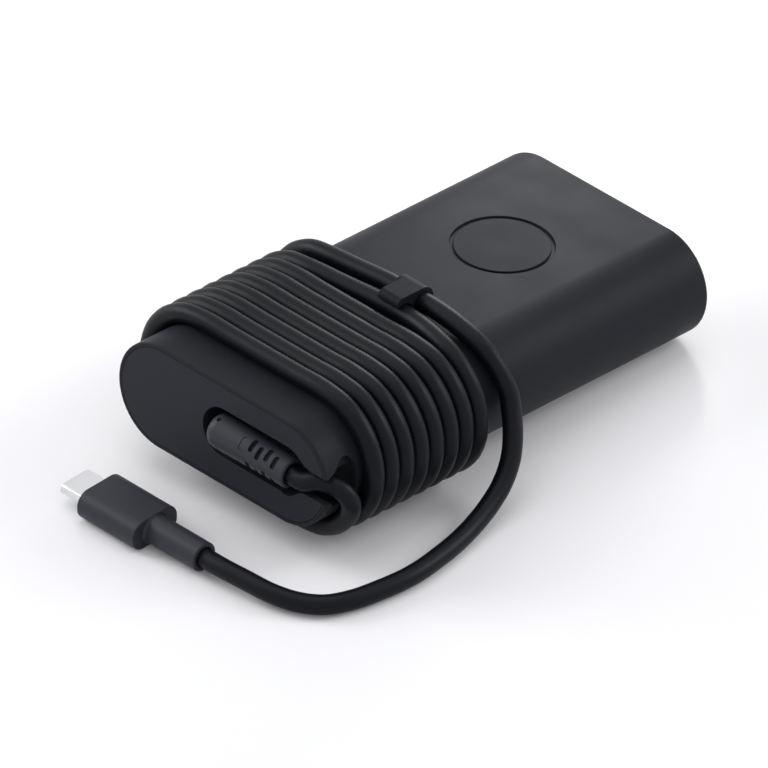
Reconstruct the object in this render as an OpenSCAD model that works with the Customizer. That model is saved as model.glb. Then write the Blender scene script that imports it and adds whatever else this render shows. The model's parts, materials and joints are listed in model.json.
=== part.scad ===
// Laptop power adapter with its output cord wound round the case.
// The case is modelled lying level, with x across, y from the cord end to the mains end and
// z up from its underside. standing() then tilts it: it stands on its rear bottom edge and on
// the turns of cord below it. The origin is on the surface that it stands on, below the
// middle of the case's own box. Units are millimetres.

/* [Case] */
// Width of the case, over its round sides
case_w = 58; // [48:1:70]
// Height of the case
case_h = 23.3; // [22.5:0.1:27]
// Length of the case, from the cord end to the mains end
case_l = 107.4; // [104:0.2:130]
// Thickness of the case's wall
wall = 1.8; // [1.5:0.1:2]
// Radius of the edge at the mains end
rear_rim_r = 1; // [0.4:0.1:1.4]
// Radius of the edge at the cord end
front_rim_r = 0.4; // [0.2:0.1:0.8]
// Thickness of the two end caps
cap_t = 2; // [1.6:0.1:2.6]
// How far the seam of a cap lies inside the case's edge
seam_in = 0.9; // [0.8:0.1:1.2]
// Gap round parts that are set into each other
fit_gap = 0.1; // [0.05:0.05:0.2]

/* [Badge] */
// Distance from the cord end to the middle of the badge
badge_y = 77.5; // [72:0.1:84]
// Radius of the round recess for the badge
badge_recess_r = 10.6; // [9:0.1:13]
// Width of the groove left round the badge
badge_groove = 0.8; // [0.4:0.1:1.2]
// Depth of the recess
badge_depth = 0.5; // [0.4:0.1:0.8]

/* [Label panel] */
// Length of the blank label panel on the underside
label_l = 34; // [20:1:36]
// Width of the blank label panel
label_w = 30; // [20:1:32]
// Depth of the blank label panel
label_depth = 0.3; // [0.2:0.1:0.5]

/* [Cord pocket] */
// Height of the pocket in the cord end
pocket_h = 10.9; // [10:0.1:11.2]
// Middle of the pocket above the underside
pocket_z = 12.05; // [11.8:0.05:12.5]
// Where the round end of the pocket has its middle, across the case
pocket_x = 0; // [-2:0.5:2]
// Depth of the pocket
pocket_d = 8; // [7:0.5:9]
// Thickness of the pocket's walls
pocket_wall = 1.4; // [1:0.1:1.8]
// Height of the mouth's upper lip at the cord end
lip_z = 14.8; // [14.6:0.1:15.4]

/* [Cord] */
// Diameter of the output cord
cord_d = 4.1; // [3.6:0.1:4.2]
// Number of turns round the case
turns = 9; // [5:1:9]
// Step from one turn to the next
turn_pitch = 4.15; // [4.15:0.05:4.4]
// Distance of the first whole turn from the cord end
first_turn_y = 10.85; // [10.6:0.05:12]
// How much thinner the wound cord is drawn than the real one
coil_slim = 0.1; // [0.1:0.05:0.2]
// Extra step from the last whole turn to the outgoing one
last_step = 2.3; // [2.2:0.1:3]

/* [Boot] */
// Radius of the boot's round end
boot_r = 3.7; // [3.3:0.1:3.9]
// Radius of the boot where the cord leaves
boot_tip_r = 3.15; // [2.7:0.05:3.3]
// Radius of the edge round the boot's closed end
boot_end_r = 2.4; // [1.5:0.1:3]
// Length of the boot
boot_l = 21.5; // [20:0.5:23]
// Slope of the boot, falling towards the cord, in degrees
boot_drop = 1.6; // [0:0.2:3]

/* [Clip] */
// Length of the clip's ring along the cord
clip_ring_l = 6.2; // [5:0.1:8]
// Wall of the clip's ring
clip_ring_t = 0.95; // [0.9:0.05:1.4]
// Width of the clip's hook
clip_hook_w = 5.4; // [4:0.1:6]
// How far the hook reaches from the middle of the ring
clip_reach = 7.15; // [6.9:0.05:7.5]
// Running clearance round the cord
clip_play = 0.08; // [0.05:0.01:0.1]

/* [Plug] */
// Length of the plug's moulded body
plug_l = 15.7; // [14:0.1:20]
// Width of the plug's moulded body
plug_w = 12.35; // [11:0.05:13]
// Height of the plug's moulded body
plug_h = 6.5; // [6:0.1:7]
// Radius of the moulded body's long edges
plug_edge_r = 3; // [0.8:0.1:3.1]
// Radius of the moulded body's corners, seen from above
plug_corner_r = 0.8; // [0.4:0.1:1.5]
// Width of the metal shell
shell_w = 8.34; // [8.3:0.01:8.4]
// Height of the metal shell
shell_h = 2.56; // [2.5:0.01:2.6]
// Length of the metal shell outside the body
shell_l = 6.65; // [6.4:0.05:6.8]
// Thickness of the metal shell
shell_t = 0.3; // [0.25:0.05:0.35]
// Diameter of the collar behind the plug
collar_d = 6.2; // [5.4:0.1:6.4]
// Length of the collar
collar_l = 13.7; // [10:0.1:16]

/* [Mains inlet] */
// Radius of the inlet's three lobes
lobe_r = 4.35; // [4.2:0.05:4.5]
// Distance between the two lower pins
pin_pitch = 8.3; // [8:0.1:8.6]
// Height of the earth pin above the two others
earth_rise = 5.4; // [5:0.1:5.8]
// Diameter of the pins
pin_d = 2.4; // [2.3:0.05:2.5]
// Depth of the inlet
inlet_d = 11.5; // [10:0.5:13]
// Length of the pins inside the inlet
pin_l = 9; // [8:0.5:9.5]
// Wall of the inlet
inlet_wall = 1.4; // [1.2:0.1:1.5]

/* [Inside] */
// Underside of the circuit board above the case's underside
board_z = 5; // [4.4:0.1:5.2]
// Thickness of the circuit boards
board_t = 1.6; // [1.2:0.1:1.6]
// Gap between the main board's edge and the case
board_gap = 0.4; // [0.3:0.1:1]
// Distance of the main board from the cord end
board_y = 12.5; // [12:0.5:13]
// Thickness of the heat spreaders
spreader_t = 0.8; // [0.6:0.1:1]
// Width of the heat spreaders
spreader_w = 34; // [28:1:36]
// Thickness of the insulation sheet
sheet_t = 0.4; // [0.3:0.1:0.6]
// Length of the transformer's core
core_l = 24; // [20:0.5:26]
// Width of the transformer's core
core_w = 20; // [18:0.5:22]
// Height of the transformer's core
core_h = 12.6; // [11:0.1:12.8]
// Diameter of the bulk capacitor
bulk_d = 12.5; // [10:0.5:13]
// Length of the bulk capacitor
bulk_l = 30; // [24:1:32]
// Diameter of the output capacitors
out_cap_d = 6.3; // [5:0.1:6.5]
// Height of the output capacitors
out_cap_h = 12; // [9:0.5:12.5]

/* [Hidden] */
$fn = 64;

side_r = case_h / 2;
side_x = case_w / 2 - side_r;
past = 1;

// ---- Places of the turns ----
// Distance from the cord end at which each turn runs up the left side and over the top
function lay(i) = i == 0 ? first_turn_y - turn_pitch - 0.2
    : i == turns ? first_turn_y + (turns - 1) * turn_pitch + last_step
    : first_turn_y + (i - 1) * turn_pitch;
// Height of the wound cord's middle over the case, and the radius that it is drawn with
coil_r = cord_d / 2 - coil_slim;
coil_off = cord_d - coil_r + 0.02;

// ---- How the case stands ----
// The deepest point of the cord below the case, at the last turn
under_d = coil_off + coil_r;
last_y = lay(turns);
stand_a = case_l - rear_rim_r - last_y;
stand_b = rear_rim_r + under_d;
tilt = atan2(stand_b, stand_a) - asin(rear_rim_r / norm([stand_a, stand_b]));
stand_z = (case_l - rear_rim_r) * sin(tilt) + rear_rim_r * (1 - cos(tilt));
stand_front = front_rim_r * (cos(tilt) + sin(tilt) - 1);
stand_back = (case_l - rear_rim_r) * cos(tilt) + (case_h - rear_rim_r) * sin(tilt) + rear_rim_r;
stand_y = -(stand_front + stand_back) / 2;

module standing() {
    translate([0, stand_y, stand_z])
        rotate([-tilt, 0, 0])
            children();
}

// The same placing, for one point
function stood(p) = [p[0],
    p[1] * cos(tilt) + p[2] * sin(tilt) + stand_y,
    -p[1] * sin(tilt) + p[2] * cos(tilt) + stand_z];

// ---- Outlines and blocks ----
// The case's round-sided outline, drawn in by some amount
module outline(inset) {
    r = side_r - inset;
    square([2 * side_x, 2 * r], center = true);
    for (s = [-1, 1])
        translate([s * side_x, 0])
            circle(r);
}

// A flat shape in x and z, carried along the case from y1 to y2
module along_y(y1, y2) {
    translate([0, y2, 0])
        rotate([90, 0, 0])
            linear_extrude(y2 - y1)
                children();
}

// A flat shape in y and z, carried across the case from x1 to x2
module along_x(x1, x2) {
    translate([x1, 0, 0])
        rotate([90, 0, 90])
            linear_extrude(x2 - x1)
                children();
}

module case_prism(inset, y1, y2) {
    along_y(y1, y2)
        translate([0, side_r])
            outline(inset);
}

// A box given by its corners
module block(low, high) {
    translate(low)
        cube(high - low);
}

// A box with its middle at x and y and its foot at z
module standing_box(x, y, z, size) {
    translate([x - size[0] / 2, y - size[1] / 2, z])
        cube(size);
}

module rounded_square(w, h, r) {
    square([w - 2 * r, h], center = true);
    square([w, h - 2 * r], center = true);
    for (x = [-1, 1])
        for (y = [-1, 1])
            translate([x * (w / 2 - r), y * (h / 2 - r)])
                circle(r);
}

// Half of the case's section along its length, in y and distance from its middle plane
module edge_section() {
    translate([front_rim_r, 0])
        square([case_l - front_rim_r - rear_rim_r, side_r]);
    square([front_rim_r, side_r - front_rim_r]);
    translate([case_l - rear_rim_r, 0])
        square([rear_rim_r, side_r - rear_rim_r]);
    translate([front_rim_r, side_r - front_rim_r])
        circle(front_rim_r);
    translate([case_l - rear_rim_r, side_r - rear_rim_r])
        circle(rear_rim_r);
}

// The case's outside: a flat middle and two half-round sides
module case_solid() {
    translate([0, 0, side_r]) {
        along_x(-side_x, side_x)
            for (s = [0, 1])
                mirror([0, s])
                    edge_section();
        for (s = [0, 1])
            mirror([s, 0, 0])
                translate([side_x, 0, 0])
                    rotate([-90, 0, 0])
                        rotate([0, 0, -90])
                            rotate_extrude(angle = 180)
                                mirror([1, -1])
                                    edge_section();
    }
}

// ---- Case ----
rail_t = 1;

module board_rails() {
    intersection() {
        case_prism(wall - 0.2, board_y, board_y + board_l);
        union()
            for (s = [-1, 1])
                standing_box(s * (board_w / 2 + 1), board_y + board_l / 2,
                    board_z - fit_gap - rail_t, [6, board_l, rail_t]);
    }
}

module case_sleeve() {
    color("#2f3033")
        standing() {
            difference() {
                case_solid();
                case_prism(wall, -past, case_l + past);
                case_prism(seam_in, -past, cap_t);
                case_prism(seam_in, case_l - cap_t, case_l + past);
                translate([0, badge_y, case_h - badge_depth])
                    cylinder(r = badge_recess_r, h = badge_depth + past);
                block([-label_w / 2, label_y - label_l / 2, -past],
                    [label_w / 2, label_y + label_l / 2, label_depth]);
                cord_channel();
                along_x(side_x, outside_x)
                    mouth_top();
            }
            board_rails();
        }
}

// The label panel lies between the cord and the mains end
label_y = (last_y + cord_d + case_l) / 2;

// ---- Cord pocket and the mouth that leads the cord to the side ----
pocket_top = pocket_z + pocket_h / 2;
pocket_low = pocket_z - pocket_h / 2;
neck_x = case_w / 2 - 12;
mouth_x = neck_x + 5;
mouth_low = pocket_low + 2.4;
outside_x = case_w / 2 + past;

// The pocket and the neck of its mouth, as seen from the cord end
module pocket_outline() {
    translate([pocket_x, pocket_z])
        circle(pocket_h / 2);
    translate([pocket_x, pocket_low])
        square([neck_x - pocket_x, pocket_h]);
}

module neck_outline() {
    polygon([[neck_x - 0.5, pocket_low], [neck_x + 1.2, pocket_low - 0.3],
        [neck_x + 2, pocket_low - 0.3], [neck_x + 3, pocket_low],
        [neck_x + 3.8, pocket_low + 0.7], [mouth_x + 0.5, mouth_low],
        [outside_x, mouth_low], [outside_x, lip_z],
        [mouth_x + 1.8, lip_z + 0.1], [mouth_x - 0.5, lip_z + 0.7],
        [neck_x + 1.6, pocket_top - 0.5], [neck_x - 0.5, pocket_top]]);
}

// The mouth as seen from the side, below the height of the lip
module mouth_outline() {
    polygon([[-past, mouth_low], [-past, lip_z], [pocket_d, lip_z],
        [pocket_d, mouth_low - 0.2], [pocket_d - 1, mouth_low - 1],
        [2.5, mouth_low - 1], [1.5, mouth_low]]);
}

// Behind the lip the sleeve is open higher up, as far in as the pocket's own wall
module mouth_top() {
    polygon([[0.7, lip_z - 0.1], [0.7, lip_z], [2.9, lip_z + 1], [4.5, pocket_top - 0.4],
        [6, pocket_top - 0.1], [7, pocket_top - 0.5], [pocket_d - 0.3, pocket_top - 1.4],
        [pocket_d, lip_z], [pocket_d, lip_z - 0.1]]);
}

module cord_channel() {
    along_y(-past, pocket_d)
        pocket_outline();
    along_y(-past, 3)
        neck_outline();
    along_x(neck_x - 0.5, outside_x)
        mouth_outline();
}

// ---- End caps ----
boot_x = pocket_x - 2.7;
boot_y = 0.6;
boot_z = pocket_z;
boot_root_x = boot_x + boot_r + 0.6;
boot_root_z = boot_z;
boot_root_r = 3.2;
flange_r = 4.4;
flange_t = 1.2;
back_y = pocket_d + pocket_wall;

module front_cap() {
    color("#2b2c2f")
        standing()
            difference() {
                union() {
                    case_prism(seam_in + fit_gap, 0, cap_t);
                    intersection() {
                        case_prism(wall + fit_gap, cap_t - 0.2, back_y);
                        union() {
                            translate([pocket_x, 0, pocket_z])
                                rotate([-90, 0, 0])
                                    cylinder(r = pocket_h / 2 + pocket_wall, h = back_y);
                            block([pocket_x, 0, pocket_low - pocket_wall],
                                [outside_x, back_y, pocket_top + pocket_wall]);
                        }
                    }
                }
                cord_channel();
                translate([boot_root_x, 0, boot_root_z])
                    rotate([-90, 0, 0])
                        cylinder(r = boot_root_r + fit_gap, h = back_y + past);
            }
}

module rear_cap() {
    color("#2b2c2f")
        standing()
            difference() {
                case_prism(seam_in + fit_gap, case_l - cap_t, case_l);
                along_y(case_l - cap_t - past, case_l + past)
                    translate([0, side_r])
                        inlet_cavity();
            }
}

module badge_disc() {
    color("#333437")
        standing()
            translate([0, badge_y, case_h - badge_depth])
                cylinder(r = badge_recess_r - badge_groove, h = badge_depth - 0.05);
}

// ---- Mains inlet, three lobes with the earth pin on top ----
pins_z = -(earth_rise - 1.1) / 2;
inlet_in = case_l - inlet_d;
inlet_y1 = inlet_in - inlet_wall;
inlet_y2 = case_l - cap_t - fit_gap;
inlet_w = pin_pitch + 2 * lobe_r + 2 * inlet_wall;
inlet_h = earth_rise + 2 * lobe_r + 2 * inlet_wall;
pin_places = [[-pin_pitch / 2, pins_z], [pin_pitch / 2, pins_z], [0, pins_z + earth_rise]];

module inlet_cavity() {
    for (p = pin_places)
        translate(p)
            circle(lobe_r);
    translate([-pin_pitch / 2, pins_z - lobe_r])
        square([pin_pitch, lobe_r + earth_rise]);
}

module inlet_body() {
    color("#232427")
        standing()
            difference() {
                along_y(inlet_y1, inlet_y2)
                    translate([0, side_r + pins_z + earth_rise / 2])
                        square([inlet_w, inlet_h], center = true);
                along_y(inlet_in, case_l)
                    translate([0, side_r])
                        inlet_cavity();
                for (p = pin_places)
                    translate([p[0], inlet_y1 - past, side_r + p[1]])
                        rotate([-90, 0, 0])
                            cylinder(d = pin_root_d + 0.04, h = inlet_wall + 2 * past);
            }
}

// Each pin is thinner where it passes through the inlet's floor
pin_tail = 2.5;
pin_root_d = pin_d - 0.4;
module inlet_pins() {
    color("#c9c6bd")
        standing()
            for (p = pin_places)
                translate([p[0], inlet_in, side_r + p[1]])
                    rotate([-90, 0, 0]) {
                        cylinder(d = pin_d, h = pin_l);
                        translate([0, 0, -inlet_wall - pin_tail])
                            cylinder(d = pin_root_d, h = inlet_wall + pin_tail);
                    }
}

// A lead that runs level along the case and then straight down to the board
module elbow(x, z, y_from, y_down, r) {
    translate([x, min(y_from, y_down), z])
        rotate([-90, 0, 0])
            cylinder(r = r, h = abs(y_down - y_from));
    translate([x, y_down, z])
        sphere(r);
    translate([x, y_down, board_top])
        cylinder(r = r, h = z - board_top);
}

lead_r = 0.8;
lead_run = 2;
module inlet_leads() {
    color("#5a4a3c")
        standing()
            for (p = pin_places)
                elbow(p[0], side_r + p[1], inlet_y1 - pin_tail,
                    inlet_y1 - pin_tail - lead_run, lead_r);
}

// ---- Boards and spreaders ----
board_top = board_z + board_t;
board_chord = sqrt(pow(side_r - wall, 2) - pow(side_r - board_z, 2));
board_w = 2 * (side_x + board_chord - board_gap);
board_l = inlet_y1 - pin_tail - 0.5 - board_y;
spreader_l = board_l - 6;
sheet_z = wall + fit_gap + spreader_t;
roof_z = case_h - wall - fit_gap - spreader_t;

module main_board() {
    color("#1f5a35")
        standing()
            block([-board_w / 2, board_y, board_z],
                [board_w / 2, board_y + board_l, board_top]);
}

module insulation_sheet() {
    color("#d8d2b8")
        standing()
            standing_box(0, board_y + board_l / 2, sheet_z,
                [spreader_w + 1, spreader_l + 2, sheet_t]);
}

module lower_heat_spreader() {
    color("#b7babd")
        standing()
            standing_box(0, board_y + board_l / 2, wall + fit_gap,
                [spreader_w, spreader_l, spreader_t]);
}

module upper_heat_spreader() {
    color("#b7babd")
        standing()
            standing_box(0, board_y + board_l / 2, roof_z,
                [spreader_w, spreader_l, spreader_t]);
}

// ---- Components on the board ----
x_cap_size = [17.5, 8.5, 12.5];
bridge_size = [15, 3.6, 11];
switch_size = [2.2, 10, 9.5];
heatsink_size = [1.6, 20, 10.5];
rectifier_size = [6.6, 5.2, 1.2];
control_size = [1, 15, 11];
chip_size = [1, 5, 5];
fuse_r = 4;
fuse_h = 7.5;
choke_r = 7.5;
choke_bore = 3.6;
choke_h = 6.5;
wire_t = 0.9;
choke_outer = 2 * (choke_r + wire_t + fit_gap);

function total(v) = len(v) == 0 ? 0 : v * [for (x = v) 1];

// Middle of piece i in a row of pieces that has the same gap before, between and after them
function place(sizes, i, low, high) =
    let (gap = (high - low - total(sizes)) / (len(sizes) + 1))
    low + gap * (i + 1) + total([for (k = [0 : 1 : i - 1]) sizes[k]]) + sizes[i] / 2;

// Rows along the right and the left half of the board, and the row across its middle
right_row = [control_size[1], bulk_l, bridge_size[1], x_cap_size[1]];
left_row = [out_cap_d, rectifier_size[1], core_l, choke_outer, 2 * fuse_r];
cross_row = [switch_size[0] + heatsink_size[0], core_w, bulk_d];
function right_y(i) = place(right_row, i, board_y, board_y + board_l);
function left_y(i) = place(left_row, i, board_y, board_y + board_l);
function cross_x(i) = place(cross_row, i, -board_w / 2, board_w / 2);
right_x = board_w / 4;
left_x = -board_w / 4;
core_x = cross_x(1);
core_y = left_y(2);
core_top = board_top + core_h;
leg_r = 4;
core_plate = 2.6;
core_side = 2.4;

module thermal_pad() {
    color("#8fa3b5")
        standing()
            standing_box(core_x, core_y, core_top,
                [core_w - 2, core_l - 2, roof_z - core_top]);
}

module fuse() {
    color("#3b3b3b")
        standing()
            translate([left_x, left_y(4), board_top])
                cylinder(r = fuse_r, h = fuse_h);
}

module x_capacitor() {
    color("#d9b33c")
        standing()
            standing_box(right_x, right_y(3), board_top, x_cap_size);
}

choke_x = left_x;
choke_y = left_y(3);
// A ring lying on the board, from an inner to an outer radius
module lying_ring(z, r1, r2, h) {
    translate([choke_x, choke_y, z])
        rotate_extrude()
            translate([r1, 0])
                square([r2 - r1, h]);
}

module choke_core() {
    color("#2f5d46")
        standing()
            lying_ring(board_top + wire_t + fit_gap, choke_bore, choke_r, choke_h);
}

// Two banks of wire round the ring, one on each side, with a space between them
choke_split = 2.8;
module choke_windings() {
    color("#b5622e")
        standing()
            difference() {
                intersection() {
                    lying_ring(board_top, choke_bore - wire_t - fit_gap,
                        choke_r + wire_t + fit_gap, choke_h + 2 * wire_t + 2 * fit_gap);
                    union()
                        for (s = [-1, 1])
                            standing_box(choke_x + s * (choke_split + choke_outer) / 2,
                                choke_y, board_top - past,
                                [choke_outer - choke_split, 2 * choke_outer, 2 * choke_h]);
                }
                lying_ring(board_top + wire_t, choke_bore - fit_gap,
                    choke_r + fit_gap, choke_h + 2 * fit_gap);
            }
}

module bridge_rectifier() {
    color("#27282b")
        standing()
            standing_box(right_x, right_y(2), board_top, bridge_size);
}

module bulk_capacitor() {
    color("#23406e")
        standing()
            translate([cross_x(2), right_y(1) - bulk_l / 2, board_top + bulk_d / 2 + fit_gap])
                rotate([-90, 0, 0])
                    cylinder(d = bulk_d, h = bulk_l);
}

module primary_switch() {
    color("#27282b")
        standing()
            standing_box(cross_x(0) - heatsink_size[0] / 2, core_y, board_top, switch_size);
}

module switch_heatsink() {
    color("#9a9da1")
        standing()
            standing_box(cross_x(0) + switch_size[0] / 2, core_y, board_top, heatsink_size);
}

// Two plates, a round middle leg and two side legs
module transformer_core() {
    color("#3a3a3e")
        standing() {
            for (z = [0, core_h - core_plate])
                standing_box(core_x, core_y, board_top + z, [core_w, core_l, core_plate]);
            for (s = [-1, 1])
                standing_box(core_x, core_y + s * (core_l - core_side) / 2, board_top,
                    [core_w, core_side, core_h]);
            translate([core_x, core_y, board_top])
                cylinder(r = leg_r, h = core_h);
        }
}

bobbin_t = 0.8;
window_h = core_h - 2 * core_plate;
window_r = core_l / 2 - core_side - fit_gap;
bobbin_z = board_top + core_plate + fit_gap;
bobbin_h = window_h - 2 * fit_gap;
module transformer_bobbin() {
    color("#d8d4c4")
        standing()
            translate([core_x, core_y, bobbin_z])
                difference() {
                    union() {
                        cylinder(r = leg_r + fit_gap + bobbin_t, h = bobbin_h);
                        for (z = [0, bobbin_h - bobbin_t])
                            translate([0, 0, z])
                                cylinder(r = window_r, h = bobbin_t);
                    }
                    translate([0, 0, -past])
                        cylinder(r = leg_r + fit_gap, h = bobbin_h + 2 * past);
                }
}

module transformer_winding() {
    color("#c07a35")
        standing()
            translate([core_x, core_y, bobbin_z + bobbin_t + 0.02])
                difference() {
                    cylinder(r = window_r - 0.6, h = bobbin_h - 2 * bobbin_t - 0.04);
                    translate([0, 0, -past])
                        cylinder(r = leg_r + fit_gap + bobbin_t + 0.02, h = bobbin_h);
                }
}

module output_rectifier() {
    color("#27282b")
        standing()
            standing_box(core_x, left_y(1), board_top, rectifier_size);
}

// Three in a row, between the board's left edge and the output leads
lead_side = 1.4;
out_cap_row = [out_cap_d, out_cap_d, out_cap_d];
out_cap_stop = boot_root_x - lead_side - lead_r;
module output_capacitors() {
    color("#4a4d52")
        standing()
            for (i = [0 : 2])
                translate([place(out_cap_row, i, -board_w / 2, out_cap_stop), left_y(0),
                        board_top])
                    cylinder(d = out_cap_d, h = out_cap_h);
}

control_x = right_x;
control_y = right_y(0);
module control_board() {
    color("#1f5a35")
        standing()
            standing_box(control_x, control_y, board_top, control_size);
}

module control_chip() {
    color("#27282b")
        standing()
            standing_box(control_x + (control_size[0] + chip_size[0]) / 2, control_y,
                board_top + 3, chip_size);
}

module output_leads() {
    color("#a33b34")
        standing()
            for (s = [-1, 1])
                elbow(boot_root_x + s * lead_side, boot_root_z,
                    back_y + flange_t + 2 * fit_gap, board_y + 2.5, lead_r);
}

// ---- Boot ----
boot_mouth = 0.8;
slot_w = 1.15;
slot_l = 2.8;
slot_r = 2.4;
slot_step = 2.1;
slot_first = 12.3;
slot_rows = [48, -42];
slot_sway = 6;

// Outline of the boot in distance from its axis and distance along it
module boot_section() {
    difference() {
        union() {
            intersection() {
                translate([boot_r - boot_end_r, boot_end_r])
                    circle(boot_end_r);
                square([boot_r, boot_end_r]);
            }
            polygon([[0, 0], [boot_r - boot_end_r, 0], [boot_r - boot_end_r, boot_end_r],
                [boot_r, boot_end_r], [boot_tip_r, boot_l], [0, boot_l]]);
        }
        polygon([[0, boot_l - boot_mouth], [cord_d / 2 + 0.1, boot_l - boot_mouth],
            [cord_d / 2 + 0.4, boot_l + past], [0, boot_l + past]]);
    }
}

module boot_placed() {
    translate([boot_x, boot_y, boot_z])
        rotate([0, 90 + boot_drop, 0])
            children();
}

// Slots in two rows, each slot turned a little up or down from the one before it
module boot_slots() {
    for (row = slot_rows)
        for (i = [0 : 3])
            rotate([0, 0, -row + slot_sway * (i % 2 == 0 ? -1 : 1)])
                translate([-slot_l / 2, -boot_r - past, slot_first + i * slot_step - slot_w / 2])
                    cube([slot_l, boot_r + past - slot_r, slot_w]);
}

module cord_boot() {
    color("#26272a")
        standing() {
            difference() {
                boot_placed()
                    rotate_extrude()
                        boot_section();
                boot_placed()
                    boot_slots();
            }
            translate([boot_root_x, boot_y, boot_root_z])
                rotate([-90, 0, 0])
                    cylinder(r = boot_root_r, h = back_y + fit_gap - boot_y);
            translate([boot_root_x, back_y + fit_gap, boot_root_z])
                rotate([-90, 0, 0])
                    cylinder(r = flange_r, h = flange_t);
        }
}

// ---- Sweeping a cord ----
function unit(v) = v / norm(v);

// Direction of a route at its point i
function heading(pts, i) = unit(pts[min(i + 1, len(pts) - 1)] - pts[max(i - 1, 0)]);

// One ring of points round a route, with its first point towards up
function ring(c, t, up, r, sides) =
    let (n = unit(up - (up * t) * t), b = cross(t, n))
    [for (k = [0 : sides - 1])
        c + r * (cos(k * 360 / sides) * n + sin(k * 360 / sides) * b)];

// A closed tube along a route, with one up vector for each point
module tube(pts, ups, r, sides) {
    n = len(pts);
    rings = [for (i = [0 : n - 1])
        each ring(pts[i], heading(pts, i), ups[i], r, sides)];
    walls = [for (i = [0 : n - 2]) for (k = [0 : sides - 1])
        let (a = i * sides + k, b = i * sides + (k + 1) % sides)
        each [[a, a + sides, b], [b, a + sides, b + sides]]];
    near = [for (k = [1 : sides - 2]) [0, k, k + 1]];
    far = [for (k = [1 : sides - 2])
        [(n - 1) * sides, (n - 1) * sides + k + 1, (n - 1) * sides + k]];
    polyhedron(rings, concat(walls, near, far));
}

// A smooth route through some points, with steps parts between each two
function smooth(pts, steps) =
    let (m = len(pts) - 1)
    concat([for (i = [0 : m - 1]) for (s = [0 : steps - 1])
        let (t = s / steps,
            a = pts[max(i - 1, 0)], b = pts[i], c = pts[i + 1], d = pts[min(i + 2, m)])
        (2 * b + (c - a) * t + (2 * a - 5 * b + 4 * c - d) * t * t
            + (3 * b - a - 3 * c + d) * t * t * t) / 2], [pts[m]]);

// ---- Wound cord ----
// Round each side a turn has side_steps + 1 rings, and straight_mid more on each flat side
side_steps = 9;
straight_mid = 3;
ride_r = side_r + coil_off;
clip_x = 4.4;
ring_r = cord_d / 2 + clip_play + clip_ring_t;
clip_y = lay(turns) + 0.8;
clip_z = case_h + ring_r + 0.05;
// The clip draws the turn beside it up to its ring. Shares of this pull over the top, from
// the left to the right, at the right shoulder, and one step down the right side
pull = clip_y - ring_r - coil_r - 0.05 - lay(turns - 1);
pull_top = [0.43, 0.86, 1];
pull_shoulder = 0.42;
pull_side = 0.09;

function pulled(i, share) = i == turns - 1 ? pull * share : 0;

// One turn: under the case to the left, up the left side, over the top and down the right.
// Each entry is a point and the direction away from the case.
function turn(i) = let (from = lay(i - 1), to = lay(i)) concat(
    [for (s = [1 : straight_mid]) let (q = s / (straight_mid + 1))
        [[side_x * (1 - 2 * q), from + (to - from) * q, -coil_off], [0, 0, -1]]],
    [for (s = [0 : side_steps]) let (a = -90 - 180 * s / side_steps)
        round_point(-side_x, to, a)],
    [for (s = [1 : straight_mid]) let (q = s / (straight_mid + 1))
        [[-side_x * (1 - 2 * q), to + pulled(i, pull_top[s - 1]), case_h + coil_off],
            [0, 0, 1]]],
    [for (s = [0 : side_steps]) let (a = 90 - 180 * s / side_steps)
        round_point(side_x,
            to + pulled(i, s == 0 ? pull_shoulder : s == 1 ? pull_side : 0), a)]);

function round_point(x, y, a) =
    [[x + ride_r * cos(a), y, side_r + ride_r * sin(a)], [cos(a), 0, sin(a)]];

// From the boot, through the mouth and down the right side to the first turn
boot_end = [boot_x + (boot_l - boot_mouth) * cos(boot_drop), boot_y,
    boot_z - (boot_l - boot_mouth) * sin(boot_drop)];
exit_step = (cord_d) * [cos(boot_drop), 0, -sin(boot_drop)];
exit_turn = [[boot_end, [0, 0, 1]],
    [boot_end + exit_step, [0, 0, 1]],
    [[case_w / 2 - 4.2, lay(0) - 4.6, side_r + 0.6], [0, 0, 1]],
    [[case_w / 2 - 1.6, lay(0) - 3.5, side_r + 0.35], [0.2, 0, 1]],
    [[case_w / 2 + 0.5, lay(0) - 2.4, side_r - 0.7], [0.6, 0, 1]],
    [[case_w / 2 + 1.6, lay(0) - 1.6, side_r - 2.6], [1, 0, 0.4]],
    round_point(side_x, lay(0) - 1, -20),
    round_point(side_x, lay(0) - 0.55, -37),
    round_point(side_x, lay(0) - 0.25, -55),
    round_point(side_x, lay(0) - 0.05, -73),
    round_point(side_x, lay(0), -90)];

// The last turn ends on top, on a straight line to the clip's ring
top_start = [-side_x, lay(turns), case_h + coil_off];
ring_start = [clip_x - clip_ring_l / 2 - 3, clip_y, clip_z];
function on_way(q) = top_start + (ring_start - top_start) * q;
coil_stop = 0.62;
last_turn = concat(
    [for (s = [1 : straight_mid]) let (q = s / (straight_mid + 1))
        [[side_x * (1 - 2 * q), lay(turns - 1) + (lay(turns) - lay(turns - 1)) * q,
            -coil_off], [0, 0, -1]]],
    [for (s = [0 : side_steps]) let (a = -90 - 180 * s / side_steps)
        round_point(-side_x, lay(turns), a)],
    [[on_way(coil_stop - 0.3), [0, 0, 1]], [on_way(coil_stop), [0, 0, 1]]]);

wound = concat(exit_turn, [for (i = [1 : turns - 1]) each turn(i)], last_turn);
wound_pts = [for (w = wound) w[0]];
wound_ups = [for (w = wound) w[1]];

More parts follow.
